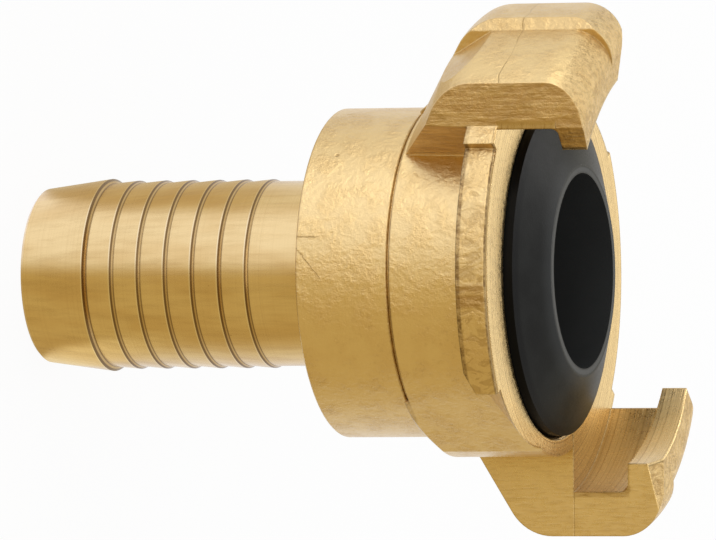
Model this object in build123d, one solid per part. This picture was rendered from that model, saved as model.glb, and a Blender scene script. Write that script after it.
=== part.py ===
from build123d import *
import os
from math import asin, cos, degrees, radians, sin

# Claw-type quarter turn hose coupling half with a swivelling hose tail.
# Millimetres. Z is the axis of the water way, z = 0 the end of the hose tail, and the mating face looks up.
# The two claws are centred on +X and -X. All of the head is the same after half a turn about Z.

# ---- driving dimensions ----

# hose tail, outside
TAIL_END_R = 8.75
TAIL_EDGE = 0.3
FIRST_BARB_Z = 6.9
FIRST_BARB_R = 9.65
BARB_R = 9.45
BARB_ROOT_R = 9.2
BARB_PITCH = 2.85
BARB_COUNT = 7
BARB_STEP = 0.3
PLAIN_R = 9.25
TAIL_BORE_R = 7.4

# head, outside
DRUM_REAR_Z = 31.75
DRUM_R = 16.4
DRUM_EDGE = 0.15
DRUM_LENGTH = 9.6
DRUM_LINE_DEPTH = 0.25
BODY_R = 16.7
FACE_Z = 53.4

# bayonet rims, stop blocks and entry lands (angles from the middle of the claw)
RIM_R = 22.2
RIM_THICK = 3.15
RIM_END = 90.5
RIM_EDGE = 0.3
STOP_R = 23.0
STOP_END = 24.8
LAND_R = 18.4
LAND_START = 108.0
LAND_END = 165.0
LAND_REAR = 12.3
LAND_RAMP = 2.0
CAM_R = 17.4
CAM_ANGLE = 58.5
CAM_DRAFT = 3.6
LEAD_IN_DEPTH = 0.9
LEAD_IN_ANGLE = 20.0

# claws
CLAW_R = 27.0
CLAW_LENGTH = 11.5
CLAW_REAR_SLOPE = 0.63
CLAW_REAR_ROUND = 5.0
CLAW_NOSE = 9.1
NOSE_ROUND_SHARE = 0.57
CLAW_NOSE_SLOPE = 4.7
CLAW_NOSE_TILT = -1.2
NOTCH_TILT = 1.8
LIP_R = 20.0
NOTCH_WIDTH = 5.8
NOTCH_R = 22.7
NOTCH_ROUND = 0.7
FLAT_OFFSET = 5.6
FLAT_ANGLE = -32.5
END_OFFSET = 3.8
END_ANGLE = 10.5
END_CHAMFER = 2.0
ROOT_TURN = 22.0
ROOT_DRAFT = 2.0
PANEL_DEPTH = 0.9
PANEL_START = -12.0
PANEL_RAMP = 4.5
BEVEL_HEIGHT = 2.7
BEVEL_LEAN = 30.5
BEVEL_ANGLE = -5.0
RELIEF_DEPTH = 1.2
RELIEF_LEAN = 40.0
RELIEF_RISE = 11.0

# head, inside
REAR_WALL = 3.3
CHAMBER_R = 14.2
MOUTH_R = 16.4
MOUTH_DEPTH = 2.4
MOUTH_BEVEL = 0.4
BEAD_R = 15.0
BEAD_DEPTH = 5.8
BEAD_WIDTH = 1.8
JOURNAL_R = 9.85

# swivel
WASHER_THICK = 1.0
WASHER_PLAY = 0.2
COLLAR_THICK = 5.6
RING_THICK = 1.2
RING_DEPTH = 0.9
RING_WIDTH = 2.2
RING_GAP = 22.0
RING_EYE_R = 2.0
RING_HOLE_R = 0.8
CORD_R = 0.9
CORD_SIDE = 0.3
THROAT_R = 9.6

# face seal
SEAL_PROUD = 0.8
CREST_R = 10.5
CREST_PROUD = 2.95
CREST_ROUND = 0.6
SEAL_BORE_R = 9.7
SEAL_LENGTH = 9.4

# clearances
RUN = 0.06
SIDE_PLAY = 0.08
SEAT = 0.05

# ---- places worked out from them ----
HALF_TURNS = (0, 180)
RIM_REAR_Z = FACE_Z - RIM_THICK
MOUTH_Z = FACE_Z - MOUTH_DEPTH
CHAMBER_Z = DRUM_REAR_Z + REAR_WALL
COLLAR_Z = CHAMBER_Z + WASHER_THICK + SIDE_PLAY
COLLAR_TOP_Z = COLLAR_Z + COLLAR_THICK
RING_Z = COLLAR_TOP_Z + SIDE_PLAY
RING_SEAT_R = CHAMBER_R + RING_DEPTH
COLLAR_R = CHAMBER_R - RUN
CORD_CENTRE_R = CHAMBER_R - SEAT - CORD_R
CORD_CENTRE_Z = COLLAR_Z + COLLAR_THICK / 2
CLAW_NOSE_ROUND = NOSE_ROUND_SHARE * (CLAW_R - LIP_R)
ROOT_R = BODY_R - 1.0
FAR = 4 * CLAW_R


def polar(radius, angle):
    """The point at a radius and an angle about Z."""
    return (radius * cos(radians(angle)), radius * sin(radians(angle)))


def turned(points):
    """A solid of revolution about Z, from its half section as (radius, height) points."""
    outline = Polyline(*[(radius, 0, height) for radius, height in points], close=True)
    return revolve(make_face(outline), Axis.Z)


def ring(inner_r, outer_r, low_z, high_z):
    """A plain ring about Z."""
    return turned([(inner_r, low_z), (outer_r, low_z), (outer_r, high_z), (inner_r, high_z)])


def wedge(start, end):
    """A tall pie slice about Z between two angles, less than half a turn apart."""
    middle = (start + end) / 2
    corners = [polar(FAR, angle) for angle in (start, middle, end)]
    return extrude(make_face(Polyline((0, 0), *corners, close=True)), 2 * FACE_Z)


def block_above(place):
    """A block that fills the space above a plane's place."""
    return place * Pos(0, 0, FAR) * Box(2 * FAR, 2 * FAR, 2 * FAR)


# ---- head, outside ----
def claw_form(outer_r):
    """A claw's turned form to an outer radius: sloped back, rounded shoulder, front face and round nose."""
    rear_z = FACE_Z - CLAW_LENGTH
    root_z = rear_z - (BODY_R - ROOT_R) * CLAW_REAR_SLOPE
    shoulder_z = rear_z + (outer_r - BODY_R) * CLAW_REAR_SLOPE
    top_z = FACE_Z + 2 * CLAW_NOSE
    points = [
        (ROOT_R, root_z),
        (outer_r, shoulder_z),
        (outer_r, top_z),
        (LIP_R, top_z),
        (LIP_R, FACE_Z),
        (ROOT_R, FACE_Z),
    ]
    section = make_face(Polyline(*[(radius, 0, height) for radius, height in points], close=True))
    shoulder = section.vertices().sort_by_distance((outer_r, 0, shoulder_z))[0]
    section = fillet(shoulder, CLAW_REAR_ROUND)
    form = revolve(section, Axis.Z) & wedge(-60, 60)
    front = Pos((CLAW_R + LIP_R) / 2, 0, FACE_Z + CLAW_NOSE) * Rot(CLAW_NOSE_TILT, -CLAW_NOSE_SLOPE, 0)
    form -= block_above(front)
    nose_edge = form.faces().sort_by(Axis.Z)[-1].edges().sort_by(lambda e: e.length)[-1]
    return fillet(nose_edge, CLAW_NOSE_ROUND)


def claw_ends():
    """The claw on +X seen along the axis: a milled end, and a chamfered forged end."""
    panel_r = CLAW_R - PANEL_DEPTH
    beyond_band = Rot(0, 0, FLAT_ANGLE) * Pos(0, FLAT_OFFSET + FAR / 2) * Rectangle(2 * FAR, FAR)
    before_end = Rot(0, 0, END_ANGLE) * Pos(0, END_OFFSET - FAR / 2) * Rectangle(2 * FAR, FAR)
    outline = Circle(CLAW_R + 1) & beyond_band & before_end
    corner_angle = END_ANGLE + degrees(asin(END_OFFSET / panel_r))
    chamfer_line = Pos(*polar(panel_r, corner_angle), 0) * Rot(0, 0, corner_angle + 45)
    outline -= chamfer_line * Pos(FAR / 2 - END_CHAMFER, 0) * Rectangle(FAR, FAR)
    return outline


def claw():
    """The claw on +X: raised band, lower panel with its rear bevel, two ends, and the hooked lip."""
    panel_r = CLAW_R - PANEL_DEPTH
    band_side = make_face(Polyline(
        (0, 0),
        polar(panel_r, PANEL_START + PANEL_RAMP),
        polar(CLAW_R + 1, PANEL_START),
        polar(FAR, PANEL_START),
        polar(FAR, -60),
        close=True,
    ))
    bevel_z = FACE_Z - BEVEL_HEIGHT
    bevel = Rot(0, 0, BEVEL_ANGLE) * Pos(panel_r, 0, bevel_z) * Rot(0, 90 + BEVEL_LEAN, 0)
    band = claw_form(CLAW_R) & extrude(band_side, 2 * FACE_Z)
    blank = claw_form(panel_r) - block_above(bevel) + band

    # the two ends, then the forged end's narrower root behind the mating face
    blank &= extrude(claw_ends(), 2 * FACE_Z)
    root_turn = Rot(0, 0, END_ANGLE) * Pos(NOTCH_R, END_OFFSET, FACE_Z) * Rot(0, 0, ROOT_TURN)
    beyond_root = block_above(root_turn * Rot(-90 - ROOT_DRAFT, 0, 0))
    blank -= beyond_root & block_above(Pos(0, 0, FACE_Z) * Rot(180, 0, 0))

    # relief on the lip's corner at the milled end
    lip_corner = Pos(LIP_R, FLAT_OFFSET, FACE_Z + CLAW_NOSE - RELIEF_DEPTH)
    relief = Rot(0, 0, FLAT_ANGLE) * lip_corner * Rot(RELIEF_LEAN, -RELIEF_RISE, 0)
    blank -= block_above(relief)

    # notch behind the lip, its front side slanted along the claw
    notch = Pos(0, 0, FACE_Z) * Cylinder(
        NOTCH_R, 2 * NOTCH_WIDTH, align=(Align.CENTER, Align.CENTER, Align.MIN)
    )
    notch -= block_above(Pos(0, 0, FACE_Z + NOTCH_WIDTH) * Rot(NOTCH_TILT, 0, 0))
    notch = fillet(notch.faces().sort_by(Axis.Z)[-1].edges(), NOTCH_ROUND)
    return blank - notch


def rim():
    """The bayonet rim beside the claw on +X, with the stop block at its start."""
    band = turned([
        (ROOT_R, RIM_REAR_Z),
        (RIM_R, RIM_REAR_Z),
        (RIM_R, FACE_Z - RIM_EDGE),
        (RIM_R - RIM_EDGE, FACE_Z),
        (ROOT_R, FACE_Z),
    ])
    lead_in = Rot(0, 0, RIM_END) * Pos(0, 0, RIM_REAR_Z + LEAD_IN_DEPTH) * Rot(180 + LEAD_IN_ANGLE, 0, 0)
    band = (band & wedge(0, RIM_END)) - (block_above(lead_in) & wedge(STOP_END, RIM_END + 1))
    stop = ring(ROOT_R, STOP_R, RIM_REAR_Z, FACE_Z)
    return band + (stop & wedge(0, STOP_END))


def entry_land():
    """The low land where the other half's claw enters, flat at its start, and the cam edge from the rim."""
    rear_z = FACE_Z - LAND_REAR
    land = turned([
        (ROOT_R, rear_z),
        (BODY_R, rear_z),
        (LAND_R, rear_z + LAND_RAMP),
        (LAND_R, FACE_Z),
        (ROOT_R, FACE_Z),
    ])
    land &= wedge(LAND_START, LAND_END)
    land -= block_above(Rot(0, 0, LAND_START) * Pos(BODY_R, 0, FACE_Z) * Rot(0, 90, 0))
    cam_centre = polar(RIM_R - CAM_R, CAM_ANGLE)
    cam = Pos(*cam_centre, RIM_REAR_Z) * Cone(
        CAM_R - CAM_DRAFT, CAM_R, RIM_THICK, align=(Align.CENTER, Align.CENTER, Align.MIN)
    )
    return land + (cam & wedge(RIM_END - 1, LAND_END))


def head_blank():
    """The turned drum and forged body, with two claws, rims and lands."""
    drum_end_z = DRUM_REAR_Z + DRUM_LENGTH
    blank = turned([
        (0, DRUM_REAR_Z),
        (DRUM_R - DRUM_EDGE, DRUM_REAR_Z),
        (DRUM_R, DRUM_REAR_Z + DRUM_EDGE),
        (DRUM_R, drum_end_z - DRUM_LINE_DEPTH),
        (DRUM_R - DRUM_LINE_DEPTH, drum_end_z),
        (BODY_R, drum_end_z + DRUM_LINE_DEPTH),
        (BODY_R, FACE_Z),
        (0, FACE_Z),
    ])
    side = claw() + rim() + entry_land()
    for turn in HALF_TURNS:
        blank += Rot(0, 0, turn) * side
    return blank


# ---- head, inside ----
def head_cavity():
    """The mouth, the seal's groove, the chamber of the swivel and the tail's bearing bore."""
    bead_z = FACE_Z - BEAD_DEPTH
    cavity = turned([
        (0, DRUM_REAR_Z - 1),
        (JOURNAL_R + RUN, DRUM_REAR_Z - 1),
        (JOURNAL_R + RUN, CHAMBER_Z),
        (CHAMBER_R, CHAMBER_Z),
        (CHAMBER_R, MOUTH_Z),
        (MOUTH_R, MOUTH_Z),
        (MOUTH_R, FACE_Z - MOUTH_BEVEL),
        (MOUTH_R + MOUTH_BEVEL + 1, FACE_Z + 1),
        (0, FACE_Z + 1),
    ])
    cavity += ring(CHAMBER_R - 1, RING_SEAT_R, RING_Z - SIDE_PLAY / 2, RING_Z + RING_THICK + SIDE_PLAY / 2)
    cavity += ring(CHAMBER_R - 1, BEAD_R, bead_z, bead_z + BEAD_WIDTH)
    return cavity


def coupling_head():
    return head_blank() - head_cavity()


# ---- hose tail ----
def hose_tail():
    """The turned tail: a tapered nose, a row of barbs, a plain seat, the journal and the collar."""
    outline = [(TAIL_BORE_R + TAIL_EDGE, 0), (TAIL_END_R - TAIL_EDGE, 0), (TAIL_END_R, TAIL_EDGE)]
    for barb in range(BARB_COUNT):
        crest_z = FIRST_BARB_Z + barb * BARB_PITCH
        crest_r = FIRST_BARB_R if barb == 0 else BARB_R
        last = barb == BARB_COUNT - 1
        outline.append((crest_r, crest_z))
        outline.append((PLAIN_R if last else BARB_ROOT_R, crest_z + BARB_STEP))
    groove_half = CORD_R + CORD_SIDE
    groove_r = CORD_CENTRE_R - CORD_R
    outline += [
        (PLAIN_R, DRUM_REAR_Z),
        (JOURNAL_R, DRUM_REAR_Z + JOURNAL_R - PLAIN_R),
        (JOURNAL_R, COLLAR_Z),
        (COLLAR_R - TAIL_EDGE, COLLAR_Z),
        (COLLAR_R, COLLAR_Z + TAIL_EDGE),
        (COLLAR_R, CORD_CENTRE_Z - groove_half),
        (groove_r, CORD_CENTRE_Z - groove_half),
        (groove_r, CORD_CENTRE_Z + groove_half),
        (COLLAR_R, CORD_CENTRE_Z + groove_half),
        (COLLAR_R, COLLAR_TOP_Z - TAIL_EDGE),
        (COLLAR_R - TAIL_EDGE, COLLAR_TOP_Z),
        (THROAT_R, COLLAR_TOP_Z),
        (TAIL_BORE_R, COLLAR_Z),
        (TAIL_BORE_R, TAIL_EDGE),
    ]
    return turned(outline)


# ---- small pieces of the swivel ----
def tail_o_ring():
    return Pos(0, 0, CORD_CENTRE_Z) * Torus(CORD_CENTRE_R, CORD_R)


def slide_washer():
    return ring(JOURNAL_R + WASHER_PLAY, CHAMBER_R - WASHER_PLAY, CHAMBER_Z, CHAMBER_Z + WASHER_THICK)


def snap_ring():
    """Retaining ring for a bore: open at one side, with an eye at each end for the pliers."""
    outer_r = RING_SEAT_R - SEAT
    inner_r = outer_r - RING_WIDTH
    body = ring(inner_r, outer_r, RING_Z, RING_Z + RING_THICK) - wedge(-RING_GAP, RING_GAP)
    eye_centre_r = CHAMBER_R - SEAT - RING_EYE_R
    for side in (-1, 1):
        place = Pos(*polar(eye_centre_r, side * (RING_GAP - 1)), RING_Z)
        base = (Align.CENTER, Align.CENTER, Align.MIN)
        body += place * Cylinder(RING_EYE_R, RING_THICK, align=base)
        body -= place * Cylinder(RING_HOLE_R, RING_THICK, align=base)
    return body


# ---- face seal ----
def face_seal():
    """The rubber form seal: skirt, retaining bead, flange in the mouth and a raised conical lip."""
    skirt_r = CHAMBER_R - SEAT
    bead_z = FACE_Z - BEAD_DEPTH
    crest_z = FACE_Z + CREST_PROUD
    points = [
        (SEAL_BORE_R, FACE_Z - SEAL_LENGTH),
        (skirt_r, FACE_Z - SEAL_LENGTH),
        (skirt_r, bead_z + SEAT),
        (BEAD_R - SEAT, bead_z + SEAT),
        (BEAD_R - SEAT, bead_z + BEAD_WIDTH - SEAT),
        (skirt_r, bead_z + BEAD_WIDTH - SEAT),
        (skirt_r, MOUTH_Z),
        (MOUTH_R - SEAT, MOUTH_Z),
        (MOUTH_R - SEAT, FACE_Z + SEAL_PROUD),
        (CREST_R, crest_z),
        (SEAL_BORE_R, crest_z),
    ]
    section = make_face(Polyline(*[(radius, 0, height) for radius, height in points], close=True))
    crest = section.vertices().sort_by_distance((CREST_R, 0, crest_z))[0]
    return revolve(fillet(crest, CREST_ROUND), Axis.Z)


NODES = {
    "coupling_head": coupling_head,
    "hose_tail": hose_tail,
    "tail_o_ring": tail_o_ring,
    "slide_washer": slide_washer,
    "snap_ring": snap_ring,
    "face_seal": face_seal,
}

os.makedirs("parts", exist_ok=True)
for name, make in NODES.items():
    solid = make()
    print(name, len(solid.solids()), round(solid.volume, 1))
    export_step(solid, f"parts/{name}.step")
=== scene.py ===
import math
from types import SimpleNamespace

import bpy
from mathutils import Matrix, Vector

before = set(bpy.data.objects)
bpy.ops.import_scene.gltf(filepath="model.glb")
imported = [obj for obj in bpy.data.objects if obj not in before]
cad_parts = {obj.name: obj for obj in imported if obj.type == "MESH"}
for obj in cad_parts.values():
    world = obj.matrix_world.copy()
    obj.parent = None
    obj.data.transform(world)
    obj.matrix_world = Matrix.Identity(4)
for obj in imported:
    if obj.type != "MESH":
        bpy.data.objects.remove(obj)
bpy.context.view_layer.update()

MM = 0.001

# ---- directions of the photograph: up in the picture, toward the camera, the coupling's axis ----
TURN = math.radians(32.5)
UP = Vector((math.cos(TURN), -math.sin(TURN), 0))
NEAR = Vector((math.sin(TURN), math.cos(TURN), 0))
AXIS = Vector((0, 0, 1))

# ---- sizes of the part that the materials follow, in millimetres and in degrees from +X ----
FACE_Z = 53.4
DRUM_END_Z = 41.35
DRUM_R = 16.4
BODY_R = 16.7
MOUTH_R = 16.4
LIP_R = 20.0
NOTCH_R = 22.7
NOTCH_END_Z = 59.2
RIM_INNER_R = 18.5
RIM_OUTER_R = 22.8
RIM_REAR_Z = 50.25
MILLED_END_OFFSET = 5.6
FORGED_END_ANGLES = (63.9, 100.5, 122.5)
PANEL_STEP_ANGLE = 32.1
PANEL_STEP_R = 24.6
BARB_START_Z = 6.615
BARB_END_Z = 24.5
BARB_PITCH = 2.85

# ---- colours ----
BRASS_LIGHT = (0.78, 0.565, 0.24)
BRASS_DARK = (0.70, 0.475, 0.18)
# painted highlight along the crests of the barbs
BRASS_GLINT = (0.88, 0.72, 0.42)
# real stains and marks, and also painted shade in the notches, on the panel step, in the corners and on the
# barbs' step walls
BRASS_STAIN_AND_SHADE = (0.36, 0.205, 0.05)
BRASS_FORGED_END = (0.42, 0.235, 0.06)
# painted shade at the barbs' steps and in the groove, painted shade mixed with dirt along the rim's edges
DIRT_AND_SHADE_BROWN = (0.17, 0.09, 0.02)
RUBBER_DARK = (0.007, 0.0072, 0.0065)
RUBBER_LIGHT = (0.011, 0.0115, 0.0105)
# painted sheen, painted highlight and painted shadow of the seal
RUBBER_CREST_SHEEN = (0.045, 0.047, 0.047)
RUBBER_EDGE_HIGHLIGHT = (0.11, 0.115, 0.12)
RUBBER_GAP_SHADOW = (0.003, 0.003, 0.003)
ACETAL_DARK = (0.78, 0.78, 0.74)
ACETAL_LIGHT = (0.86, 0.86, 0.83)
STEEL_DARK = (0.2, 0.2, 0.21)
STEEL_LIGHT = (0.33, 0.33, 0.34)

# ---- tones of the studio, as metal mirrors them ----
BRIGHT_TONE = (0.94, 0.94, 0.98)
PEAK_TONE = (1.13, 1.17, 1.42)
DIM_TONE = (0.63, 0.515, 0.28)
FAR_SKY_TONE = (0.85, 0.8, 0.66)
NEAR_SHADE_TONE = (0.68, 0.58, 0.4)
LOW_GLOW_TONE = (1.0, 0.93, 0.72)

# ---- tones of the studio, as the camera and the matt surfaces see them ----
WHITE = (1, 1, 1)
FLOOR_GREY = (0.86, 0.86, 0.85)
SKY_GREY = (0.75, 0.75, 0.75)
FLOOR_WHITE_SHARE = 0.93


# ---- node helper ----
class Nodes:
    """Builds one node tree in plain calls. A value is a socket, a number or a tuple."""

    def __init__(self, tree):
        self.tree = tree
        self.made = tree.nodes
        self.made.clear()

    def add(self, kind, **settings):
        node = self.made.new(kind)
        for name, value in settings.items():
            setattr(node, name, value)
        return node

    def wire(self, source, target):
        if isinstance(source, (int, float)):
            target.default_value = source
        elif isinstance(source, (tuple, list, Vector)):
            values = tuple(source)
            if len(target.default_value) == 4 and len(values) == 3:
                values += (1.0,)
            target.default_value = values
        else:
            self.tree.links.new(source, target)

    def math(self, operation, a, b=0.0, c=0.0):
        node = self.add("ShaderNodeMath", operation=operation)
        self.wire(a, node.inputs[0])
        self.wire(b, node.inputs[1])
        self.wire(c, node.inputs[2])
        return node.outputs[0]

    def chain(self, operation, first, *others):
        """Applies a two-input operation to several values, one after another."""
        for value in others:
            first = self.math(operation, first, value)
        return first

    def product(self, *values):
        return self.chain("MULTIPLY", *values)

    def total(self, *values):
        return self.chain("ADD", *values)

    def largest(self, *values):
        return self.chain("MAXIMUM", *values)

    def less(self, value, taken):
        return self.math("SUBTRACT", value, taken)

    def line(self, value, slope, offset):
        return self.math("MULTIPLY_ADD", value, slope, offset)

    def absolute(self, value):
        return self.math("ABSOLUTE", value)

    def vector_math(self, operation, a, b=None):
        node = self.add("ShaderNodeVectorMath", operation=operation)
        self.wire(a, node.inputs[0])
        if b is not None:
            self.wire(b, node.inputs[1])
        return node.outputs

    def dot(self, a, direction):
        return self.vector_math("DOT_PRODUCT", a, direction)["Value"]

    def scale(self, vector, factors):
        return self.vector_math("MULTIPLY", vector, factors)[0]

    def join(self, x, y, z=0.0):
        node = self.add("ShaderNodeCombineXYZ")
        for value, socket in zip((x, y, z), node.inputs):
            self.wire(value, socket)
        return node.outputs[0]

    def noise(self, vector, scale, detail, rough, distortion=0.0):
        node = self.add("ShaderNodeTexNoise")
        self.wire(vector, node.inputs["Vector"])
        node.inputs["Scale"].default_value = scale
        node.inputs["Detail"].default_value = detail
        node.inputs["Roughness"].default_value = rough
        node.inputs["Distortion"].default_value = distortion
        return node.outputs["Fac"]

    def cells(self, vector, scale):
        node = self.add("ShaderNodeTexVoronoi", feature="F1")
        self.wire(vector, node.inputs["Vector"])
        node.inputs["Scale"].default_value = scale
        return node.outputs["Distance"]

    def span(self, value, low, high, out_low=0.0, out_high=1.0):
        """Maps low..high smoothly onto out_low..out_high, and holds beyond."""
        node = self.add("ShaderNodeMapRange", interpolation_type="SMOOTHSTEP")
        for socket, setting in zip(node.inputs, (value, low, high, out_low, out_high)):
            self.wire(setting, socket)
        return node.outputs[0]

    def above(self, value, low, high):
        """0 up to low, 1 from high on."""
        return self.span(value, low, high)

    def below(self, value, low, high):
        """1 up to low, 0 from high on."""
        return self.span(value, low, high, 1.0, 0.0)

    def line_at(self, value, middle, half):
        """A thin soft line where the value passes the middle."""
        return self.below(self.absolute(self.less(value, middle)), half * 0.5, half)

    def blend(self, factor, a, b):
        node = self.add("ShaderNodeMix", data_type="RGBA")
        self.wire(factor, node.inputs[0])
        self.wire(a, node.inputs[6])
        self.wire(b, node.inputs[7])
        return node.outputs[2]

    def blend_numbers(self, factor, a, b):
        node = self.add("ShaderNodeMix", data_type="FLOAT")
        self.wire(factor, node.inputs[0])
        self.wire(a, node.inputs[2])
        self.wire(b, node.inputs[3])
        return node.outputs[0]

    def bump(self, height, distance, normal=None):
        node = self.add("ShaderNodeBump")
        node.inputs["Distance"].default_value = distance
        self.wire(height, node.inputs["Height"])
        if normal is not None:
            self.wire(normal, node.inputs["Normal"])
        return node.outputs[0]

    def soft_edges(self, radius):
        node = self.add("ShaderNodeBevel", samples=6)
        node.inputs["Radius"].default_value = radius
        return node.outputs[0]

    def openness(self, distance):
        """1 in the open and 0 in a tight corner, seen within this distance."""
        node = self.add("ShaderNodeAmbientOcclusion", samples=8)
        node.inputs["Distance"].default_value = distance
        return node.outputs["AO"]


def new_material(name):
    material = bpy.data.materials.new(name)
    material.use_nodes = True
    return material, Nodes(material.node_tree)


def dress(node_name, material):
    """Gives a CAD node its material in every slot."""
    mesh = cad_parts[node_name].data
    if not mesh.materials:
        mesh.materials.append(material)
    for slot in range(len(mesh.materials)):
        mesh.materials[slot] = material


def place_of(n):
    """Object coordinates in millimetres, with the surface's normal, the height and the radius."""
    coords = n.add("ShaderNodeTexCoord")
    point = n.scale(coords.outputs["Object"], (1 / MM, 1 / MM, 1 / MM))
    split = n.add("ShaderNodeSeparateXYZ")
    n.wire(point, split.inputs[0])
    x, y, z = split.outputs
    radius = n.math("SQRT", n.total(n.product(x, x), n.product(y, y)))
    return SimpleNamespace(point=point, normal=coords.outputs["Normal"], z=z, radius=radius)


def around(degrees):
    """Level direction at this angle from +X."""
    return Vector((math.cos(math.radians(degrees)), math.sin(math.radians(degrees)), 0))


def from_up(degrees):
    """Level direction at this angle from the picture's up, turning toward the camera."""
    return UP * math.cos(math.radians(degrees)) + NEAR * math.sin(math.radians(degrees))


def principled(n, tone, rough, normal=None, **constants):
    """A surface shader with its output. Constants are named as the sockets, with _ for a space."""
    shader = n.add("ShaderNodeBsdfPrincipled")
    for name, value in constants.items():
        shader.inputs[name.replace("_", " ")].default_value = value
    n.wire(tone, shader.inputs["Base Color"])
    n.wire(rough, shader.inputs["Roughness"])
    if normal is not None:
        n.wire(normal, shader.inputs["Normal"])
    n.wire(shader.outputs[0], n.add("ShaderNodeOutputMaterial").inputs[0])
    return shader


def brass_shader(n, tone, rough, normal):
    """Metal under a thin clear skin, which whitens its highlights."""
    coat = {"Coat_Weight": 0.3, "Coat_Roughness": 0.25, "Coat_IOR": 1.7}
    shader = principled(n, tone, rough, normal, Metallic=1.0, **coat)
    n.wire(normal, shader.inputs["Coat Normal"])


# ---- forged brass of the head ----
def forging_zones(n):
    """The head's zones, each 1 inside it and 0 outside, and the noises that several zones share."""
    at = place_of(n)
    at.along_up = n.dot(at.point, UP)
    at.along_near = n.dot(at.point, NEAR)
    facing_axis = n.dot(at.normal, AXIS)

    # milled ends of the claws, turned mating face, lips and notches, and the inside
    facing_near = n.above(n.absolute(n.dot(at.normal, NEAR)), 0.985, 0.998)
    near_milled_end = n.line_at(n.absolute(at.along_near), MILLED_END_OFFSET, 0.08)
    outside = n.above(at.radius, BODY_R + 0.3, BODY_R + 0.6)
    at.milled = n.product(facing_near, near_milled_end, outside)
    at.face = n.product(n.above(facing_axis, 0.96, 0.99), n.below(at.z, FACE_Z + 0.1, FACE_Z + 0.2))
    in_notch = n.product(
        n.below(at.radius, NOTCH_R + 0.3, NOTCH_R + 0.7),
        n.below(at.z, NOTCH_END_Z + 0.05, NOTCH_END_Z + 0.15),
    )
    on_lip = n.below(at.radius, LIP_R + 0.1, LIP_R + 0.3)
    beyond_face = n.above(at.z, FACE_Z - 0.2, FACE_Z - 0.05)
    at.inner_lip = n.product(beyond_face, n.largest(in_notch, on_lip))
    at.notched = n.product(
        at.inner_lip,
        n.above(at.radius, LIP_R - 2.5, LIP_R - 0.5),
        n.below(at.z, NOTCH_END_Z - 0.2, NOTCH_END_Z + 0.1),
    )
    in_mouth = n.product(
        n.below(at.radius, MOUTH_R + 0.1, MOUTH_R + 0.2),
        n.above(at.z, FACE_Z - 2.9, FACE_Z - 2.8),
    )
    inside = n.largest(n.below(at.radius, DRUM_R - 0.2, DRUM_R - 0.1), in_mouth)
    at.machined = n.largest(at.face, at.inner_lip, at.milled, inside)
    at.drum = n.below(at.z, DRUM_END_Z - 0.25, DRUM_END_Z + 0.05)

    # forged ends of the claws, the panel's step, the rims, the noses and the line behind the drum
    facing_ends = [n.absolute(n.dot(at.normal, around(turn))) for turn in FORGED_END_ANGLES]
    ends = [n.above(facing, 0.998, 0.9995) for facing in facing_ends]
    at.forged_end = n.product(n.largest(*ends), outside)
    at.panel_step = n.product(
        n.above(n.absolute(n.dot(at.normal, around(PANEL_STEP_ANGLE))), 0.99, 0.996),
        n.above(at.radius, PANEL_STEP_R, PANEL_STEP_R + 0.4),
    )
    rough_skin = n.less(1.0, at.machined)
    at.rim = n.product(
        n.above(at.radius, RIM_INNER_R, RIM_INNER_R + 1.0),
        n.above(at.z, RIM_REAR_Z - 1.25, RIM_REAR_Z - 0.65),
        n.below(at.radius, RIM_OUTER_R, RIM_OUTER_R + 0.4),
        rough_skin,
    )
    at.rim_edges = n.largest(
        n.line_at(at.z, RIM_REAR_Z + 0.1, 0.42),
        n.line_at(at.z, FACE_Z - 0.15, 0.2),
    )
    at.nose = n.product(
        n.above(facing_axis, 0.3, 0.6),
        n.above(at.z, FACE_Z + 3.1, FACE_Z + 4.1),
        rough_skin,
    )
    at.groove = n.product(
        n.line_at(at.z, DRUM_END_Z, 0.4),
        n.below(at.radius, BODY_R + 0.2, BODY_R + 0.4),
    )

    # noises
    at.streaks = n.noise(n.scale(at.point, (1.0, 1.0, 0.1)), 2.4, 4.0, 0.65)
    at.coarse = n.noise(at.point, 0.4, 3.0, 0.5)
    at.skin = n.noise(at.point, 1.7, 5.0, 0.72)
    at.patches = n.above(at.coarse, 0.42, 0.62)
    at.crumpled = n.noise(n.scale(at.point, (1.0, 1.0, 0.6)), 0.9, 4.0, 0.6, 1.2)
    return at


def forging_marks(n, at):
    """Single marks: a pit and two creases in the drum, the dies' seam on the claws, a cutter's stop."""
    pit_place = UP * 11.6 + NEAR * 11.6 + AXIS * 34.6
    pit = n.below(n.vector_math("DISTANCE", at.point, pit_place)["Value"], 0.12, 0.3)

    straight = n.line_at(n.line(at.skin, 0.5, at.along_up), 3.75, 0.08)
    straight = n.product(straight, n.below(at.z, 33.4, 34.4))
    slanted = n.line_at(n.total(n.line(at.z, 1.2, at.along_up), at.skin), 41.1, 0.1)
    on_near_side = n.product(n.below(at.z, 33.9, 34.6), n.above(at.along_near, 0.0, 1.0))
    crease = n.product(n.largest(straight, slanted), on_near_side)

    wander = n.noise(at.point, 0.3, 1.0, 0.5)
    seam = n.product(
        n.line_at(n.line(wander, 1.5, at.z), FACE_Z + 1.1, 0.07),
        n.above(at.radius, NOTCH_R + 0.9, NOTCH_R + 1.7),
        n.span(wander, 0.35, 0.55, 0.3, 0.8),
        n.less(1.0, n.largest(at.milled, at.forged_end)),
    )
    cutter_stop = n.product(n.line_at(at.z, FACE_Z, 0.07), at.milled, 0.6)
    return n.largest(pit, crease, seam, cutter_stop)


def forging_tooling(n, at):
    """Strokes of the tools: rings on the face, hoops in the notches and bores, lines on the milled ends."""
    rings = n.noise(n.join(at.radius, n.product(at.z, 0.2)), 7.0, 3.0, 0.7)
    hoops = n.noise(n.join(at.z, n.product(at.radius, 0.2)), 3.5, 3.0, 0.7)
    strokes = n.noise(n.join(n.product(at.z, 0.15), at.along_up), 3.2, 3.0, 0.65)
    return n.blend(at.milled, n.blend(at.face, hoops, rings), strokes), hoops


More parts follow.
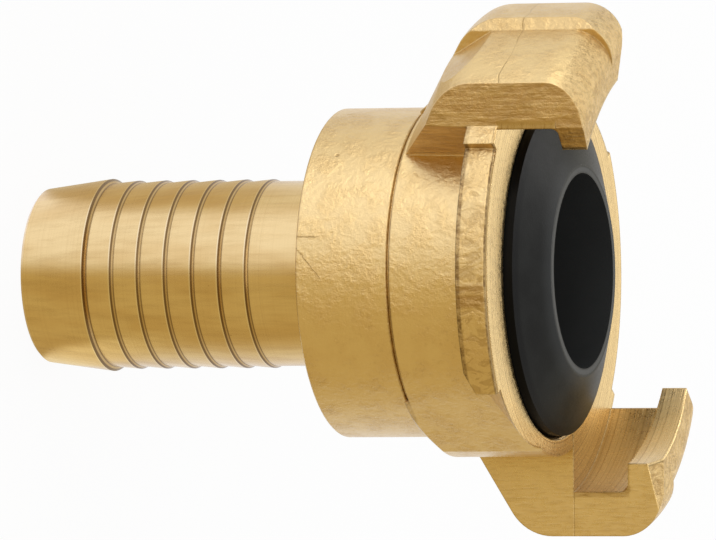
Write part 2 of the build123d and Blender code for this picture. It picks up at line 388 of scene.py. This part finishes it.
def forging_tone(n, at, marks, tooling):
    """Brass, darker on forged ends and rims, with painted shade in the corners, notches and groove and on
    the panel step, and painted shade mixed with dirt along the rim's edges.
    """
    tone = n.blend(n.span(at.coarse, 0.35, 0.68, 0.1, 0.7), BRASS_LIGHT, BRASS_DARK)
    hollows = n.product(n.below(at.skin, 0.34, 0.48), n.line(at.patches, 0.7, 0.3))
    tone = n.blend(n.product(hollows, 0.2), tone, BRASS_STAIN_AND_SHADE)

    end_tone = n.blend(n.span(at.streaks, 0.35, 0.75, 0.0, 0.8), BRASS_FORGED_END, BRASS_DARK)
    end_tone = n.blend(n.span(at.crumpled, 0.5, 0.62, 0.0, 0.5), end_tone, BRASS_STAIN_AND_SHADE)
    tone = n.blend(n.product(at.forged_end, 0.9), tone, end_tone)

    tone = n.blend(n.product(at.machined, 0.75), tone, BRASS_LIGHT)
    lined = n.product(n.line(at.inner_lip, 0.5, 0.2), at.machined, n.above(tooling, 0.46, 0.66))
    tone = n.blend(lined, tone, BRASS_STAIN_AND_SHADE)
    # painted shade inside the notches
    tone = n.blend(n.product(n.less(at.notched, at.face), 0.45), tone, BRASS_STAIN_AND_SHADE)

    tone = n.blend(n.product(at.rim, n.span(at.crumpled, 0.42, 0.5, 0.45, 0.1)), tone, BRASS_STAIN_AND_SHADE)
    tone = n.blend(n.product(at.nose, n.span(at.skin, 0.36, 0.58, 0.55, 0.12)), tone, BRASS_STAIN_AND_SHADE)
    # painted shade mixed with dirt: dark brown lines along the rim's edges and painted shade in the groove
    # behind the drum
    edge_dirt_and_shade = n.largest(n.product(at.rim_edges, at.rim), n.product(at.groove, 0.5))
    tone = n.blend(n.product(edge_dirt_and_shade, n.span(at.skin, 0.35, 0.6, 0.9, 0.4)), tone, DIRT_AND_SHADE_BROWN)
    # painted shade on the step of the claws' panel
    tone = n.blend(n.product(at.panel_step, 0.35), tone, BRASS_STAIN_AND_SHADE)
    tone = n.blend(n.product(marks, 0.6), tone, BRASS_STAIN_AND_SHADE)

    # painted shade darkens the corners that the ambient occlusion finds, and less of it behind the rims
    opened = n.total(n.openness(1.6 * MM), n.span(at.z, FACE_Z - 3.4, FACE_Z - 1.4, 0.3, 0.0))
    hidden = n.below(opened, 0.3, 0.9)
    corner_shade = n.product(n.span(at.skin, 0.3, 0.6, 0.9, 0.6), n.line(at.face, -0.7, 1.0))
    return n.blend(n.product(hidden, corner_shade), tone, BRASS_STAIN_AND_SHADE)


def forging_height(n, at, marks, tooling, hoops):
    """Height of the surface: blasted skin, crumpled rims, drawn ends, turned drum and tool strokes."""
    relief = n.total(
        n.product(at.skin, n.line(at.patches, 0.6, 0.7)),
        n.product(at.crumpled, n.line(at.rim, 0.35, 0.45)),
        n.product(at.nose, at.skin, 1.8),
        n.product(at.forged_end, at.streaks, 0.8),
        n.product(at.drum, hoops, 0.1),
    )
    cut = n.product(tooling, n.line(at.face, -0.25, 0.3))
    return n.less(n.blend_numbers(at.machined, relief, cut), n.product(marks, 0.5))


def forged_brass():
    """Shot-blasted forging, with a turned drum, a turned mating face and milled claw ends."""
    material, n = new_material("forged_brass_head")
    at = forging_zones(n)
    marks = forging_marks(n, at)
    tooling, hoops = forging_tooling(n, at)
    tone = forging_tone(n, at, marks, tooling)
    height = forging_height(n, at, marks, tooling, hoops)
    rough = n.less(n.span(at.skin, 0.3, 0.7, 0.38, 0.28), n.product(at.machined, 0.04))
    brass_shader(n, tone, rough, n.bump(height, 0.1 * MM, n.soft_edges(0.2 * MM)))
    return material


# ---- turned brass of the tail ----
def turned_brass():
    """Lathe-turned brass: fine hoops and faint drawn streaks, with a painted highlight on the crests of the
    barbs and painted shade on and along their steps.
    """
    material, n = new_material("turned_brass_tail")
    at = place_of(n)
    hoops = n.noise(n.join(at.z, n.product(at.radius, 0.3)), 5.0, 4.0, 0.75)
    streaks = n.noise(n.scale(at.point, (1.0, 1.0, 0.08)), 1.6, 4.0, 0.65)
    cloud = n.noise(n.scale(at.point, (1.0, 1.0, 0.3)), 0.35, 2.0, 0.5)
    specks = n.below(n.cells(at.point, 0.55), 0.03, 0.07)

    # one pitch runs from 0 to 1: the crest ends at 0.1 and the step down at 0.2
    barbed = n.product(n.above(at.z, 6.6, 6.7), n.below(at.z, BARB_END_Z, BARB_END_Z + 0.1))
    barb = n.math("FRACT", n.math("DIVIDE", n.less(at.z, BARB_START_Z), BARB_PITCH))
    crest_glint = n.product(n.line_at(barb, 0.07, 0.03), barbed)
    crest_shade_line = n.product(n.line_at(barb, 0.122, 0.042), barbed)
    step_wall_shade = n.product(n.line_at(barb, 0.155, 0.06), barbed)
    foot_shade_line = n.product(n.line_at(barb, 0.214, 0.03), barbed)

    tone = n.blend(n.above(cloud, 0.35, 0.7), BRASS_LIGHT, BRASS_DARK)
    tone = n.blend(n.product(n.above(streaks, 0.4, 0.75), 0.22), tone, BRASS_STAIN_AND_SHADE)
    tone = n.blend(n.product(n.above(hoops, 0.45, 0.8), 0.2), tone, BRASS_STAIN_AND_SHADE)
    tone = n.blend(n.product(specks, n.above(cloud, 0.5, 0.6), 0.5), tone, BRASS_STAIN_AND_SHADE)
    # painted highlight along the crest of each barb
    tone = n.blend(n.product(crest_glint, 0.6), tone, BRASS_GLINT)
    # painted shade on each step's wall, and dark painted shade lines at its crest and at its foot
    tone = n.blend(n.product(step_wall_shade, 0.5), tone, BRASS_STAIN_AND_SHADE)
    tone = n.blend(n.product(crest_shade_line, 0.95), tone, DIRT_AND_SHADE_BROWN)
    tone = n.blend(n.product(foot_shade_line, 0.75), tone, DIRT_AND_SHADE_BROWN)

    height = n.total(n.product(hoops, 0.6), n.product(streaks, 0.35))
    rough = n.span(streaks, 0.3, 0.7, 0.2, 0.28)
    brass_shader(n, tone, rough, n.bump(height, 0.02 * MM, n.soft_edges(0.05 * MM)))
    return material


# ---- other materials ----
def rubber():
    """Moulded black rubber with a fine matt skin, with a painted sheen on its crest, a painted highlight on
    its inner edge and a painted shadow at its outer edge.
    """
    material, n = new_material("moulded_rubber")
    at = place_of(n)
    grain = n.noise(at.point, 5.0, 3.0, 0.6)
    cloud = n.noise(at.point, 0.35, 3.0, 0.5)
    tone = n.blend(n.above(cloud, 0.3, 0.7), RUBBER_DARK, RUBBER_LIGHT)
    # painted sheen: a lighter grey ring on the seal's crest
    crest_sheen = n.product(n.above(at.radius, 8.2, 9.6), n.below(at.radius, 10.4, 12.5))
    tone = n.blend(n.product(crest_sheen, 0.5), tone, RUBBER_CREST_SHEEN)
    # painted highlight: a thin light line on the seal's inner edge
    inner_edge_highlight = n.product(n.line_at(at.radius, 10.05, 0.3), n.above(at.z, FACE_Z + 0.2, FACE_Z + 0.8))
    tone = n.blend(n.product(inner_edge_highlight, 0.4), tone, RUBBER_EDGE_HIGHLIGHT)
    # painted shadow: near black in the gap at the seal's outer edge
    tone = n.blend(n.span(at.radius, 15.2, 15.8, 0.0, 0.8), tone, RUBBER_GAP_SHADOW)
    rough = n.span(grain, 0.3, 0.7, 0.34, 0.42)
    principled(n, tone, rough, n.bump(grain, 0.012 * MM), Specular_IOR_Level=0.06)
    return material


def white_plastic():
    """Natural acetal of the slide washer."""
    material, n = new_material("acetal_washer")
    cloud = n.noise(place_of(n).point, 0.8, 2.0, 0.5)
    principled(n, n.blend(cloud, ACETAL_DARK, ACETAL_LIGHT), n.span(cloud, 0.3, 0.7, 0.35, 0.45))
    return material


def spring_steel():
    """Stamped and blackened spring steel of the snap ring."""
    material, n = new_material("spring_steel_ring")
    grain = n.noise(place_of(n).point, 3.0, 3.0, 0.6)
    tone = n.blend(grain, STEEL_DARK, STEEL_LIGHT)
    rough = n.span(grain, 0.3, 0.7, 0.3, 0.45)
    principled(n, tone, rough, n.bump(grain, 0.01 * MM), Metallic=1.0)
    return material


black_rubber = rubber()
dress("coupling_head", forged_brass())
dress("hose_tail", turned_brass())
dress("face_seal", black_rubber)
dress("tail_o_ring", black_rubber)
dress("slide_washer", white_plastic())
dress("snap_ring", spring_steel())


# ---- floor and surroundings ----
def level_direction(n, place):
    """The place's direction seen from above, and its distance from the coupling's axis in metres."""
    level = n.scale(place, (1, 1, 0))
    return n.vector_math("NORMALIZE", level)[0], n.vector_math("LENGTH", level)["Value"]


def surroundings(n, flat):
    """Pale studio as metal mirrors it: bright above and behind, dim and warm low in front."""
    past_upper_edge = n.above(n.dot(flat, from_up(177)), -0.2, 0.08)
    before_lower_edge = n.above(n.dot(flat, from_up(95)), -0.75, 0.3)
    bright = n.blend(n.above(n.dot(flat, from_up(42)), 0.68, 0.95), BRIGHT_TONE, PEAK_TONE)
    return n.blend(n.product(past_upper_edge, before_lower_edge), bright, DIM_TONE)


def ray_kinds(n):
    """The camera's own rays, and the rays that a mirroring or clear surface sends on."""
    kinds = n.add("ShaderNodeLightPath").outputs
    return kinds["Is Camera Ray"], n.largest(kinds["Is Glossy Ray"], kinds["Is Transmission Ray"])


def studio_floor():
    """White to the camera, pale and matt to the light, and toned where metal mirrors it."""
    material, n = new_material("studio_floor")
    by_camera, by_mirror = ray_kinds(n)
    flat, reach = level_direction(n, n.add("ShaderNodeNewGeometry").outputs["Position"])
    near_shade = n.product(n.above(n.dot(flat, from_up(-35)), 0.55, 0.85), n.below(reach, 0.055, 0.085))
    low_glow = n.product(n.above(n.dot(flat, from_up(190)), 0.86, 0.96), n.below(reach, 0.02, 0.035))
    mirrored = n.blend(near_shade, surroundings(n, flat), NEAR_SHADE_TONE)
    mirrored = n.blend(low_glow, mirrored, LOW_GLOW_TONE)

    glow = n.add("ShaderNodeEmission")
    n.wire(n.blend(by_mirror, WHITE, mirrored), glow.inputs["Color"])
    matt = n.add("ShaderNodeBsdfDiffuse")
    n.wire(FLOOR_GREY, matt.inputs["Color"])
    mix = n.add("ShaderNodeMixShader")
    n.wire(n.largest(n.product(by_camera, FLOOR_WHITE_SHARE), by_mirror), mix.inputs[0])
    n.wire(matt.outputs[0], mix.inputs[1])
    n.wire(glow.outputs[0], mix.inputs[2])
    n.wire(mix.outputs[0], n.add("ShaderNodeOutputMaterial").inputs[0])
    return material


def studio_world():
    """White to the camera, grey to the light, and toned where metal mirrors it, with a strip of far sky."""
    world = bpy.data.worlds.new("studio")
    world.use_nodes = True
    n = Nodes(world.node_tree)
    where = n.add("ShaderNodeTexCoord").outputs["Generated"]
    by_camera, by_mirror = ray_kinds(n)
    flat, _ = level_direction(n, where)
    far_sky = n.above(n.dot(where, AXIS * 0.32 - NEAR * 0.947), 0.8, 0.97)
    mirrored = n.blend(far_sky, surroundings(n, flat), FAR_SKY_TONE)
    lit = n.blend(by_mirror, SKY_GREY, mirrored)
    backdrop = n.add("ShaderNodeBackground")
    n.wire(n.blend(by_camera, lit, WHITE), backdrop.inputs["Color"])
    n.wire(backdrop.outputs[0], n.add("ShaderNodeOutputWorld").inputs[0])
    return world


FLOOR_HALF = 3.0
floor_mesh = bpy.data.meshes.new("floor")
corners = [(sx * FLOOR_HALF, sy * FLOOR_HALF, 0) for sx, sy in ((-1, -1), (1, -1), (1, 1), (-1, 1))]
floor_mesh.from_pydata(corners, [], [(0, 1, 2, 3)])
floor = bpy.data.objects.new("floor", floor_mesh)
bpy.context.scene.collection.objects.link(floor)
floor_mesh.materials.append(studio_floor())

bpy.context.scene.world = studio_world()


# ---- lamps ----
LAMP_TARGET = AXIS * 0.032


def softbox(name, offset, width, height, power):
    """A rectangular lamp at this offset from the coupling's middle, turned toward it."""
    lamp = bpy.data.lights.new(name, "AREA")
    lamp.shape = "RECTANGLE"
    lamp.size = width
    lamp.size_y = height
    lamp.energy = power
    holder = bpy.data.objects.new(name, lamp)
    holder.location = LAMP_TARGET + offset
    holder.rotation_euler = (-offset).to_track_quat("-Z", "Y").to_euler()
    bpy.context.scene.collection.objects.link(holder)


softbox("key_above", UP * 0.6 + NEAR * 0.35 + AXIS * 0.1, width=0.5, height=0.35, power=1.2)
softbox("fill_near", UP * 0.12 + NEAR * 0.7 + AXIS * 0.35, width=0.6, height=0.7, power=1.2)
softbox("far_strip", UP * 0.1 - NEAR * 0.5 + AXIS * 0.42, width=0.3, height=0.1, power=0.6)

# ---- camera: the photograph's view, rolled so that the coupling lies along the picture ----
VIEW_TILT = math.radians(18.76)
VIEW_ROLL = math.radians(-0.434)
VIEW_DISTANCE = 1.1
AIM_HEIGHT = 0.0324

# in the photograph's pixels: focal length, size, centre of view, place of the aim, and scale there
FOCAL = 11029.0
PICTURE = (716, 540)
CENTRE = (357.26, 310.4)
AIM = (354.7, 272.86)
PIXELS_PER_M = 10026.0

toward = NEAR * math.cos(VIEW_TILT) + AXIS * math.sin(VIEW_TILT)
rightward = AXIS * math.cos(VIEW_TILT) - NEAR * math.sin(VIEW_TILT)
right = rightward * math.cos(VIEW_ROLL) + UP * math.sin(VIEW_ROLL)
up = UP * math.cos(VIEW_ROLL) - rightward * math.sin(VIEW_ROLL)
slide = (AIM[0] - CENTRE[0]) / PIXELS_PER_M
drop = (AIM[1] - CENTRE[1]) / PIXELS_PER_M
spot = AXIS * AIM_HEIGHT + toward * VIEW_DISTANCE - right * slide + up * drop

camera_data = bpy.data.cameras.new("camera")
camera_data.sensor_width = 36.0
camera_data.lens = FOCAL * camera_data.sensor_width / PICTURE[0]
camera_data.shift_x = -(CENTRE[0] - PICTURE[0] / 2) / PICTURE[0]
camera_data.shift_y = (CENTRE[1] - PICTURE[1] / 2) / PICTURE[0]
camera_data.clip_start = 0.05
camera_data.clip_end = 20.0

camera = bpy.data.objects.new("camera", camera_data)
camera.matrix_world = Matrix((
    (right.x, up.x, toward.x, spot.x),
    (right.y, up.y, toward.y, spot.y),
    (right.z, up.z, toward.z, spot.z),
    (0, 0, 0, 1),
))
bpy.context.scene.collection.objects.link(camera)
bpy.context.scene.camera = camera

bpy.context.scene.view_settings.view_transform = "Standard"
